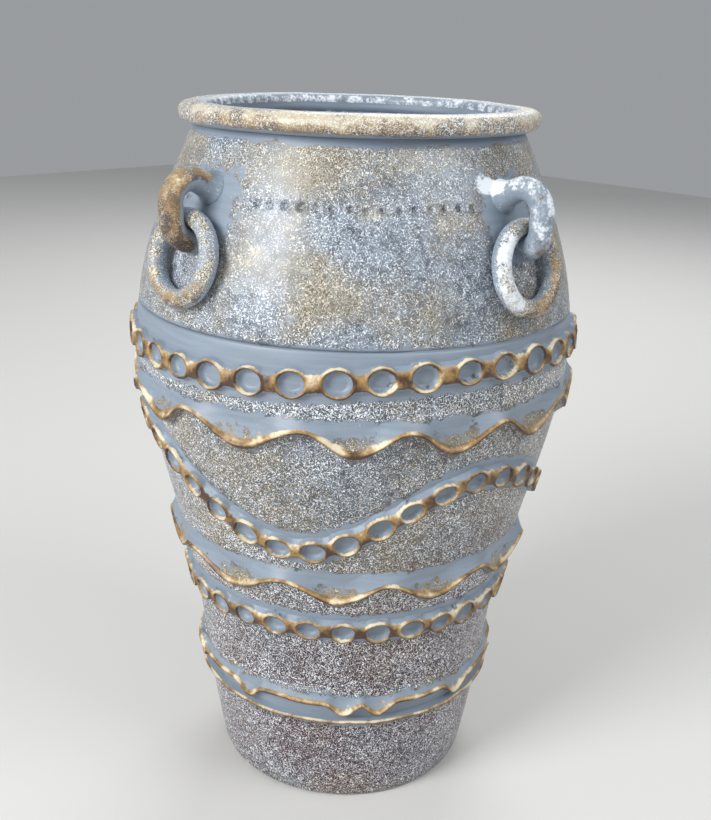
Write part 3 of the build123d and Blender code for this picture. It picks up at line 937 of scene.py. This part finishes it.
def band_strip(name, turns, cups, first_cup, cup_radius, bands, body, seed):
    """Flat strip on the wall whose grid runs round each cup, ready to be pressed."""
    bearings = radians(first_cup) + np.linspace(0, FULL_TURN, 721)
    heights = band_height(bearings, turns)
    points = on_wall(bearings, heights, 0.0, body)
    walked = np.concatenate([[0], np.cumsum(np.linalg.norm(np.diff(points, axis=0), axis=1))])
    around = walked[-1]
    pitch = around / cups
    half = pitch / 2

    # The cells of one cup: rings near its middle, a square grid at its edges
    cells = 14
    spacing = np.interp(np.linspace(0, 1, cells + 1), [0, 0.3, 0.8, 1], [0, 0.56, 0.88, 1])
    steps = np.concatenate([-spacing[:0:-1], spacing])
    across, along = np.meshgrid(steps, steps[:-1], indexing="ij")
    ring = np.maximum(np.abs(across), np.abs(along))
    disc = ring / np.maximum(np.hypot(across, along), 1e-9)
    square = smooth(0.86, 1.0, ring)
    side = across * (disc * half * (1 - square) + bands.reach * square)
    ahead = along * (disc * half * (1 - square) + half * square)

    # How far each point lies from the middle of its uneven cup, in radii of the lip
    dice = np.random.default_rng(seed)
    place = []
    cup = []
    for index in range(cups):
        slip, size, oval = dice.uniform(-1, 1, 3)
        place.append(index * pitch + ahead)
        reach = np.hypot(ahead - THUMB_SLIP * slip, side / (CUP_WIDTH + 0.05 * oval))
        cup.append(reach / (cup_radius * (1 + 0.07 * size)))
    place = np.concatenate(place, axis=1)
    cup = np.concatenate(cup, axis=1)
    side = np.tile(side, cups)

    # Two rows in the wall close the strip from below, far from any cup
    place = np.concatenate([place, place[[-1, 0]]])
    side = np.concatenate([side, side[[-1, 0]]])
    cup = np.concatenate([cup, np.full_like(cup[:2], FAR_FROM_CUPS)])
    depth = np.zeros_like(side)
    depth[-2:] = -BED_DEPTH

    # The strip lies square across its middle line
    within = place % around
    bearing = np.interp(within, walked, bearings)
    height = np.interp(within, walked, heights)
    step = 0.001
    ahead_height = np.interp((within + step) % around, walked, heights)
    rise = np.clip((ahead_height - height) / step, -1, 1)
    slope = wall_slope(height)
    bearing = bearing - side * rise / wall_radius(height)
    height = height + side * np.sqrt(1 - rise**2) / np.sqrt(1 + slope**2)
    points = on_wall(bearing, height, depth, body)
    faces = loop_faces(*place.shape, True)
    values = {"cup": cup, "side": np.abs(side)}
    vectors = {"out": out_of_wall(bearing, height)}
    return new_piece(name, points, faces, values=values, vectors=vectors)


def pressing_tree():
    """Geometry Nodes that press a flat strip into a rope with round cups."""
    tree, node, given = start_tree("press_thumb_cups", ("Lip", "Rope", "Rope width", "Unevenness", "Seed"))
    cup = node("GeometryNodeInputNamedAttribute", {"Name": "cup"}, data_type="FLOAT")
    side = node("GeometryNodeInputNamedAttribute", {"Name": "side"}, data_type="FLOAT")
    out = node("GeometryNodeInputNamedAttribute", {"Name": "out"}, data_type="FLOAT_VECTOR")
    aside = node("ShaderNodeMath", {0: side, 1: given["Rope width"]}, operation="DIVIDE")
    sections = []
    for distance, points in ((cup, CUP_CURVE), (aside, ROPE_CURVE)):
        half = node("ShaderNodeMath", {0: distance, 1: 0.5}, operation="MULTIPLY")
        section = node("ShaderNodeFloatCurve", {"Value": half})
        mapping = section.node.mapping
        line = mapping.curves[0]
        line.points[0].location = points[0]
        line.points[1].location = points[-1]
        for place in points[1:-1]:
            line.points.new(*place)
        for point in line.points:
            point.handle_type = "AUTO_CLAMPED"
        mapping.extend = "HORIZONTAL"
        mapping.update()
        sections.append(section)
    lip = node("ShaderNodeMath", {0: sections[0], 1: given["Lip"]}, operation="MULTIPLY")
    inputs = {"Value": cup, "From Min": 0.96, "From Max": 1.1}
    outside = node("ShaderNodeMapRange", inputs, interpolation_type="SMOOTHSTEP")
    rope = node("ShaderNodeMath", {0: sections[1], 1: outside}, operation="MULTIPLY")
    rope = node("ShaderNodeMath", {0: rope, 1: given["Rope"]}, operation="MULTIPLY")
    lift = node("ShaderNodeMath", {0: lip, 1: rope, 2: ROPE_BLEND}, operation="SMOOTH_MAX")
    share = node("ShaderNodeMath", {0: lift, 1: given["Lip"]}, operation="DIVIDE")
    rough = hand_stray(node, given, PRESSED_LUMPS)
    lift = node("ShaderNodeMath", {0: rough, 1: share, 2: lift}, operation="MULTIPLY_ADD")
    lift = node("ShaderNodeMath", {0: lift, 1: STRIP_SINK}, operation="SUBTRACT")
    move = node("ShaderNodeVectorMath", {0: out, "Scale": lift}, operation="SCALE")
    strip = node("GeometryNodeSetPosition", {"Geometry": given["Geometry"], "Offset": move})
    inputs = {"Value": share, "From Min": 0.45, "From Max": 0.95}
    gilt = node("ShaderNodeMapRange", inputs, interpolation_type="SMOOTHSTEP")
    plain = node("ShaderNodeMath", {0: outside, 1: 0.08, 2: 0.86}, operation="MULTIPLY_ADD")
    end_tree(node, given, strip, {"gilt": gilt, "plain": plain})
    return tree


class JAR_OT_press_thumbed_bands(bpy.types.Operator):
    """Press the three thumbed bands on to the wall"""

    bl_idname = "jar.press_thumbed_bands"
    bl_label = "Press Thumbed Bands"

    def execute(self, context):
        body = context.scene.jar_body
        bands = context.scene.jar_bands
        material = painted_clay("gilded_edges_on_clay", context.scene.jar_paint)
        tree = pressing_tree()
        for index, (node, (turns, cups, first_cup, size)) in enumerate(THUMBED_BANDS.items()):
            seed = bands.seed + index
            cup_radius = getattr(bands, size)
            strip = band_strip("pressed_" + node, turns, cups, first_cup, cup_radius, bands, body, seed)
            run_tree(
                strip,
                tree,
                lip=bands.lip,
                rope=bands.rope,
                rope_width=bands.rope_width,
                unevenness=bands.hand,
                seed=float(seed),
                material=material,
            )
            settle(strip, node, "jar", material)
        return {"FINISHED"}


# Frills, pinched strip and ledge


def frill_line(bearing, frill):
    """Lip height and swing, from -1 in a trough to 1 on a crest, at bearings."""
    seen = frill["crests"]
    gap = (seen[0] + 360 - seen[-1]) / frill["waves"]
    crests = np.array(list(seen) + [seen[-1] + gap * (wave + 1) for wave in range(frill["waves"])])
    around = crests[0] + (np.degrees(bearing) - crests[0]) % 360
    swing = np.cos(FULL_TURN * np.interp(around, crests, np.arange(len(crests))))
    return frill["height"] + frill["rise"] * swing, swing


def strip_piece(name, lip, root, proud, drop, thick, dish, body):
    """Pressed strip round the wall: all sizes are arrays over even bearings.

    A dish of 1 hollows the upper face into a scoop with a sharp lip.
    """
    columns = len(lip)
    bearing = even_bearings(columns)
    sink = 0.0007
    foot = lip - thick / 2 - drop

    # Rows of the section, from the root over the lip to the foot: lift, level, gold, how plain and how
    # brown;
    # the underside is browner and darker as painted shade under the lip
    section = []
    for share in np.linspace(0, 1, 14):
        lift = -sink + (proud - thick / 2 + sink) * share ** (1.1 + 1.7 * dish)
        level = root + (lip + thick / 2 - root) * share
        gold = np.maximum(smooth(0.80, 1.0, share), (0.13 + 0.24 * dish) * smooth(0.3, 0.8, share))
        own = smooth(0.85, 0.3, (level - lip) / (root - lip))
        wiped = np.maximum(wall_plain(bearing, level), own * (0.82 - 0.46 * dish))
        section.append((lift, level, gold, wiped, 0.1))
    for angle in np.radians([60, 30, 0, -30, -60]):
        lift = proud - thick / 2 * (1 - np.cos(angle))
        section.append((lift, lip + thick / 2 * np.sin(angle), 1.0, 1.0, 0.3))
    # The underside: browner and darker, as painted shade under the lip
    for share in np.linspace(0, 1, 9):
        lift = (proud - thick / 2) * (1 - share) - sink * share
        level = lip - thick / 2 - drop * share
        section.append((lift, level, 0.9 * (1 - smooth(0.0, 0.4, share)), 0.25, 0.6))
    for level in (foot, (foot + root) / 2, root):
        section.append((-BED_DEPTH, level, 0.0, 0.0, 0.0))
    parts = [np.stack([np.broadcast_to(value, columns) for value in part]) for part in zip(*section)]
    lifts, levels, gilt, plain, warm = parts
    points = on_wall(bearing, levels, lifts, body)
    values = {"gilt": gilt, "plain": plain, "warm": warm}
    return new_piece(name, points, loop_faces(len(section), columns, True), values=values)


def stray(bearing, size, seed):
    """Slow uneven drift round the jar."""
    dice = np.random.default_rng(seed)
    waves = (7, 11, 17, 23, 31)
    drift = sum(dice.uniform(0.3, 1) * np.sin(wave * bearing + dice.uniform(0, 6)) for wave in waves)
    return size * drift / 2


class JAR_OT_wave_frills(bpy.types.Operator):
    """Wave the two frills round the wall"""

    bl_idname = "jar.wave_frills"
    bl_label = "Wave Frills"

    def execute(self, context):
        body = context.scene.jar_body
        bands = context.scene.jar_bands
        material = painted_clay("gilded_edges_on_clay", context.scene.jar_paint)
        bearing = even_bearings(COLUMNS["frill"])
        frills = {"upper_wavy_frill": UPPER_FRILL, "lower_wavy_frill": LOWER_FRILL}
        for index, (node, frill) in enumerate(frills.items()):
            seed = bands.seed + index
            lip, swing = frill_line(bearing, frill)
            lip = lip + stray(bearing, 0.0007, seed + 10)
            root = frill["root"] + 0 * bearing
            proud = bands.frill_proud + 0.0009 * swing + stray(bearing, 0.0004, seed + 20)
            drop = 0.0045 - 0.0035 * swing
            thick = bands.frill_lip - 0.0009 * swing + stray(bearing, 0.0003, seed + 30)
            dish = smooth(0.5, -1.1, swing)
            piece = strip_piece("waved_" + node, lip, root, proud, drop, thick, dish, body)
            settle(piece, node, "jar", material)
        return {"FINISHED"}


class JAR_OT_pinch_foot_strips(bpy.types.Operator):
    """Pinch the strip near the foot and lay the ledge under it"""

    bl_idname = "jar.pinch_foot_strips"
    bl_label = "Pinch Foot Strips"

    def execute(self, context):
        body = context.scene.jar_body
        bands = context.scene.jar_bands
        material = painted_clay("gilded_edges_on_clay", context.scene.jar_paint)
        bearing = even_bearings(COLUMNS["foot_strip"])
        flat = 0 * bearing
        away = [degrees_from(bearing, middle) for middle in PINCHES]
        nearest = np.min(np.abs(away), axis=0) / PINCH_HALF_WIDTH
        pinch = np.exp(-(nearest**2.3))
        shoulder = np.exp(-(((nearest - 1.25) / 0.4) ** 2))
        lip = PINCHED_HEIGHT - PINCH_DEPTH * pinch + 0.0012 * shoulder
        lip = lip + stray(bearing, 0.0006, bands.seed + 40)
        proud = bands.strip_proud + 0.0008 * shoulder + stray(bearing, 0.0003, bands.seed + 41)
        drop = 0.0035 - 0.001 * pinch
        thick = bands.strip_lip - 0.0006 * pinch
        piece = strip_piece("pinched_foot_strip", lip, PINCHED_ROOT + flat, proud, drop, thick, pinch, body)
        settle(piece, "pinched_strip", "jar", material)
        lip = LEDGE_HEIGHT + stray(bearing, 0.0004, bands.seed + 42)
        proud = bands.ledge_proud + stray(bearing, 0.0003, bands.seed + 43)
        root, drop, thick = LEDGE_ROOT + flat, LEDGE_DROP + flat, LEDGE_LIP + flat
        piece = strip_piece("plain_foot_ledge", lip, root, proud, drop, thick, flat, body)
        settle(piece, "ledge_strip", "jar", material)
        return {"FINISHED"}


# Lugs and rings


def rolling_tree():
    """Geometry Nodes that roll a line of points into a round bar."""
    name = "roll_clay_bar"
    if name in bpy.data.node_groups:
        return bpy.data.node_groups[name]
    numbers = ("Bar", "Unevenness", "Seed", "Gilding", "Wiped", "Warmth", "White", "Dense")
    tree, node, given = start_tree(name, numbers, ["Middle"])
    stored = {}
    for title in ("girth", "root", "limb"):
        stored[title] = node("GeometryNodeInputNamedAttribute", {"Name": title}, data_type="FLOAT")
    line = node("GeometryNodeMeshToCurve", {0: given["Geometry"]})
    radius = node("ShaderNodeMath", {0: stored["girth"], 1: given["Bar"]}, operation="MULTIPLY")
    line = node("GeometryNodeSetCurveRadius", {"Curve": line, "Radius": radius})
    circle = node("GeometryNodeCurvePrimitiveCircle", {"Resolution": BAR_SIDES, "Radius": 0.5})
    scale = node("GeometryNodeInputRadius")
    inputs = {"Curve": line, "Profile Curve": circle, "Scale": scale, "Fill Caps": True}
    bar = node("GeometryNodeCurveToMesh", inputs)
    normal = node("GeometryNodeInputNormal")
    rough = hand_stray(node, given, ROLLED_LUMPS)
    move = node("ShaderNodeVectorMath", {0: normal, "Scale": rough}, operation="SCALE")
    bar = node("GeometryNodeSetPosition", {"Geometry": bar, "Offset": move})

    # Paint goes on the side that looks away from the middle, and stops short of the wall
    place = node("GeometryNodeInputPosition")
    offset = node("ShaderNodeVectorMath", {0: place, 1: given["Middle"]}, operation="SUBTRACT")
    away = node("ShaderNodeVectorMath", {0: offset}, operation="NORMALIZE")
    outer = node("ShaderNodeVectorMath", {0: away, 1: normal}, "Value", operation="DOT_PRODUCT")
    free = node("ShaderNodeMath", {0: 1.0, 1: stored["root"]}, operation="SUBTRACT")
    inputs = {"Value": outer, "From Min": -0.1, "From Max": 0.55, "To Max": free}
    outer = node("ShaderNodeMapRange", inputs, interpolation_type="SMOOTHSTEP")

    # More gold low down, none on a white limb
    drop = node("ShaderNodeSeparateXYZ", {0: offset}, "Z")
    inputs = {"Value": drop, "From Min": 0.0, "From Max": -0.03, "To Max": 0.25}
    gold = node("ShaderNodeMapRange", inputs, interpolation_type="SMOOTHSTEP")
    gold = node("ShaderNodeMath", {0: gold, 1: given["Gilding"]}, operation="ADD")
    gold = node("ShaderNodeMath", {0: outer, 1: gold}, operation="MULTIPLY")
    gold = node("ShaderNodeMath", {0: stored["limb"], 1: -0.5, 2: gold}, operation="MULTIPLY_ADD")

    # White on the outer side and the limb, thickest on top of the root
    up = node("ShaderNodeSeparateXYZ", {0: normal}, "Z")
    white = node("ShaderNodeMath", {0: stored["root"], 1: up}, operation="MULTIPLY")
    white = node("ShaderNodeMath", {0: white, 1: 5.0, 2: outer}, operation="MULTIPLY_ADD")
    limb = node("ShaderNodeMath", {0: outer, 1: stored["limb"]}, operation="MULTIPLY")
    white = node("ShaderNodeMath", {0: white, 1: given["White"], 2: limb}, operation="MULTIPLY_ADD")
    speckled = node("ShaderNodeMath", {0: 1.0, 1: given["Wiped"]}, operation="SUBTRACT")
    speckled = node("ShaderNodeMath", {0: outer, 1: speckled}, operation="MULTIPLY")
    plain = node("ShaderNodeMath", {0: 1.0, 1: speckled}, operation="SUBTRACT")
    marks = {"gilt": gold, "plain": plain, "warm": given["Warmth"], "dab": white, "dense": given["Dense"]}
    end_tree(node, given, bar, marks)
    return tree


def line_piece(name, points, closed, **values):
    """A bare line of points with named values at each."""
    count = len(points)
    edges = [(index, (index + 1) % count) for index in range(count if closed else count - 1)]
    return new_piece(name, points, edges=edges, values=values)


def turn_points(points, turn):
    """Points turned about the jar's axis by degrees."""
    matrix = np.array(Matrix.Rotation(radians(turn), 3, "Z"))
    return np.asarray(points) @ matrix.T


def lug_line(lugs):
    """Points along the middle of the lug on +X, with the girth and the nearness of the wall at each."""
    loop = (lugs.lug_bar + lugs.ring_bar) / 2 + lugs.play
    crown_middle = Vector((HINGE_RADIUS, 0, HINGE_HEIGHT + LUG_RISE))
    throat_middle = Vector((HINGE_RADIUS, 0, HINGE_HEIGHT))

    def on_loop(middle, angle):
        return middle + Vector((cos(angle), 0, sin(angle))) * loop

    crown = [on_loop(crown_middle, angle) for angle in np.linspace(LUG_CROWN, 0, 20)]
    throat = [on_loop(throat_middle, angle) for angle in np.linspace(0, -LUG_THROAT, 16)]
    top_heading = Vector((-sin(LUG_CROWN), 0, cos(LUG_CROWN)))
    low_heading = Vector((-sin(LUG_THROAT), 0, -cos(LUG_THROAT)))
    top_root = [crown[0] + top_heading * LUG_ROOT * share for share in np.linspace(0.85, 0.05, 22)]
    low_root = [throat[-1] + low_heading * LUG_ROOT * share for share in np.linspace(0.1, 0.8, 9)]
    points = np.array(top_root + crown + throat + low_root)
    gap = np.maximum(points[:, 0] - wall_radius(points[:, 2]), 0)
    upper = np.arange(len(points)) < len(top_root) + 6
    flare = np.where(upper, lugs.flare - 1, LOW_FLARE)
    girth = 1 + flare * np.exp(-gap / FLARE_REACH)
    return points, girth, np.exp(-((gap / ROOT_REACH) ** 2))


class JAR_OT_bend_lugs(bpy.types.Operator):
    """Bend the four lugs and press them on to the shoulder"""

    bl_idname = "jar.bend_lugs"
    bl_label = "Bend Lugs"

    def execute(self, context):
        lugs = context.scene.jar_lugs
        material = painted_clay("brushed_paint_on_lugs", context.scene.jar_paint)
        points, girth, root = lug_line(lugs)
        middle = [(HINGE_RADIUS, 0, HINGE_HEIGHT + LUG_RISE / 2)]
        for index, (side, turn) in enumerate(SIDES.items()):
            gilding, wiped, white = LUG_PAINT[side]
            line = turn_points(points, turn)
            piece = line_piece("bent_lug_" + side, line, False, girth=girth, root=root)
            run_tree(
                piece,
                rolling_tree(),
                bar=lugs.lug_bar,
                unevenness=lugs.hand,
                seed=3.0 + index,
                gilding=gilding,
                wiped=wiped,
                warmth=0.1,
                dense=0.02,
                white=white,
                middle=turn_points(middle, turn)[0].tolist(),
                material=material,
            )
            settle(piece, "lug_" + side, "jar", material)
        return {"FINISHED"}


class JAR_OT_hang_rings(bpy.types.Operator):
    """Hang a loose ring in each lug"""

    bl_idname = "jar.hang_rings"
    bl_label = "Hang Rings"

    def execute(self, context):
        lugs = context.scene.jar_lugs
        material = painted_clay("brushed_paint_on_rings", context.scene.jar_paint)
        radius = (lugs.ring_hole + lugs.ring_bar) / 2
        middle = Vector((HINGE_RADIUS + radius * sin(RING_LEAN), 0, HINGE_HEIGHT - radius * cos(RING_LEAN)))
        up = Vector((-sin(RING_LEAN), 0, cos(RING_LEAN)))
        beside = Vector((0, 1, 0))
        angles = np.linspace(0, FULL_TURN, 120, endpoint=False)
        points = [middle + (up * cos(angle) + beside * sin(angle)) * radius for angle in angles]
        worn = 0.025 * smooth(0.3, 1.0, np.cos(angles))
        for index, (side, turn) in enumerate(SIDES.items()):
            gilding, white = RING_PAINT[side]
            girth = 0.985 + 0.012 * np.sin(2 * angles + index) - worn
            limb = white * smooth(0.15, 0.75, -np.sin(angles))
            line = turn_points(points, turn)
            piece = line_piece("loose_ring_" + side, line, True, girth=girth, limb=limb)
            run_tree(
                piece,
                rolling_tree(),
                bar=lugs.ring_bar,
                unevenness=lugs.hand * 0.6,
                seed=11.0 + index,
                gilding=gilding,
                wiped=0.45,
                warmth=0.1,
                dense=0.04,
                middle=(0.0, 0.0, middle.z),
                material=material,
            )
            settle(piece, "ring_" + side, "ring_" + side, material)
        return {"FINISHED"}


# Stage


def soft_light(name, power, bearing, elevation, width, height):
    """Oblong soft light at a bearing and elevation in degrees, aimed at the jar's middle."""
    light = bpy.data.lights.new(name, "AREA")
    light.shape = "RECTANGLE"
    light.size, light.size_y = width, height
    light.energy = power
    holder = bpy.data.objects.new(name, light)
    angle = BEST_SIDE + radians(bearing)
    high = radians(elevation)
    aim = Vector((0, 0, CAD_BOX[1][2] / 2))
    away = Vector((cos(angle) * cos(high), sin(angle) * cos(high), sin(high)))
    holder.location = aim + away * LIGHT_DISTANCE
    holder.rotation_euler = away.to_track_quat("Z", "Y").to_euler()
    bpy.context.scene.collection.objects.link(holder)


class JAR_OT_set_stage(bpy.types.Operator):
    """Set the floor, the light and the camera"""

    bl_idname = "jar.set_stage"
    bl_label = "Set Stage"

    def execute(self, context):
        scene = context.scene
        stage = scene.jar_stage
        corners = [(-1, -1, 0), (1, -1, 0), (1, 1, 0), (-1, 1, 0)]
        floor = new_piece("studio_floor", FLOOR_HALF * np.array(corners), [(0, 1, 2, 3)])
        material = bpy.data.materials.new("pale_studio_floor")
        material.use_nodes = True
        # Matt, so that the eye sees soft shadows on it and no reflection
        finish = material.node_tree.nodes["Principled BSDF"]
        finish.inputs["Base Color"].default_value = stage.floor
        finish.inputs["Roughness"].default_value = 0.9
        floor.data.materials.append(material)
        world = bpy.data.worlds.new("studio_world")
        world.use_nodes = True
        background = world.node_tree.nodes["Background"]
        background.inputs["Color"].default_value = stage.world
        background.inputs["Strength"].default_value = stage.world_power
        scene.world = world
        for name, place in LIGHTS.items():
            soft_light(name, getattr(stage, name + "_power"), *place)
        self.place_camera(scene)
        scene.view_settings.view_transform = "Standard"
        return {"FINISHED"}

    def place_camera(self, scene):
        """Camera in front of the best side and a little above."""
        lens = bpy.data.cameras.new("reference_view")
        lens.lens = CAMERA_LENS
        lens.sensor_width = 36.0
        lens.clip_start = 0.01
        camera = bpy.data.objects.new("reference_view", lens)
        place = Vector((CAMERA_DISTANCE * cos(BEST_SIDE), CAMERA_DISTANCE * sin(BEST_SIDE), CAMERA_HEIGHT))
        pan = Matrix.Rotation(radians(CAMERA_PAN), 4, "Z")
        tilt = Matrix.Rotation(radians(CAMERA_TILT), 4, "X")
        roll = Matrix.Rotation(radians(CAMERA_ROLL), 4, "Z")
        camera.matrix_world = Matrix.Translation(place) @ pan @ tilt @ roll
        scene.collection.objects.link(camera)
        scene.camera = camera


class JAR_PT_sidebar(bpy.types.Panel):
    """Jar builder"""

    bl_idname = "JAR_PT_sidebar"
    bl_label = "Thumbed Jar"
    bl_space_type = "VIEW_3D"
    bl_region_type = "UI"
    bl_category = "Jar"

    def draw(self, context):
        for operator in OPERATORS:
            self.layout.operator(operator.bl_idname)
        for title, settings in SETTINGS.items():
            box = self.layout.box()
            for name in settings.__annotations__:
                box.prop(getattr(context.scene, title), name)


SETTINGS = {
    "jar_body": JarBodySettings,
    "jar_bands": JarBandSettings,
    "jar_lugs": JarLugSettings,
    "jar_paint": JarPaintSettings,
    "jar_stage": JarStageSettings,
}
OPERATORS = (
    JAR_OT_throw_body,
    JAR_OT_roll_rim,
    JAR_OT_press_thumbed_bands,
    JAR_OT_wave_frills,
    JAR_OT_pinch_foot_strips,
    JAR_OT_bend_lugs,
    JAR_OT_hang_rings,
    JAR_OT_set_stage,
)


def register():
    """Add the settings, the operators and the panel."""
    for title, settings in SETTINGS.items():
        bpy.utils.register_class(settings)
        setattr(bpy.types.Scene, title, PointerProperty(type=settings))
    for operator in OPERATORS:
        bpy.utils.register_class(operator)
    bpy.utils.register_class(JAR_PT_sidebar)


def unregister():
    """Take them away again."""
    bpy.utils.unregister_class(JAR_PT_sidebar)
    for operator in reversed(OPERATORS):
        bpy.utils.unregister_class(operator)
    for title, settings in reversed(SETTINGS.items()):
        delattr(bpy.types.Scene, title)
        bpy.utils.unregister_class(settings)


def main():
    """Build the whole jar."""
    register()
    bpy.ops.jar.throw_body()
    bpy.ops.jar.roll_rim()
    bpy.ops.jar.press_thumbed_bands()
    bpy.ops.jar.wave_frills()
    bpy.ops.jar.pinch_foot_strips()
    bpy.ops.jar.bend_lugs()
    bpy.ops.jar.hang_rings()
    bpy.ops.jar.set_stage()


if __name__ == "__main__":
    main()
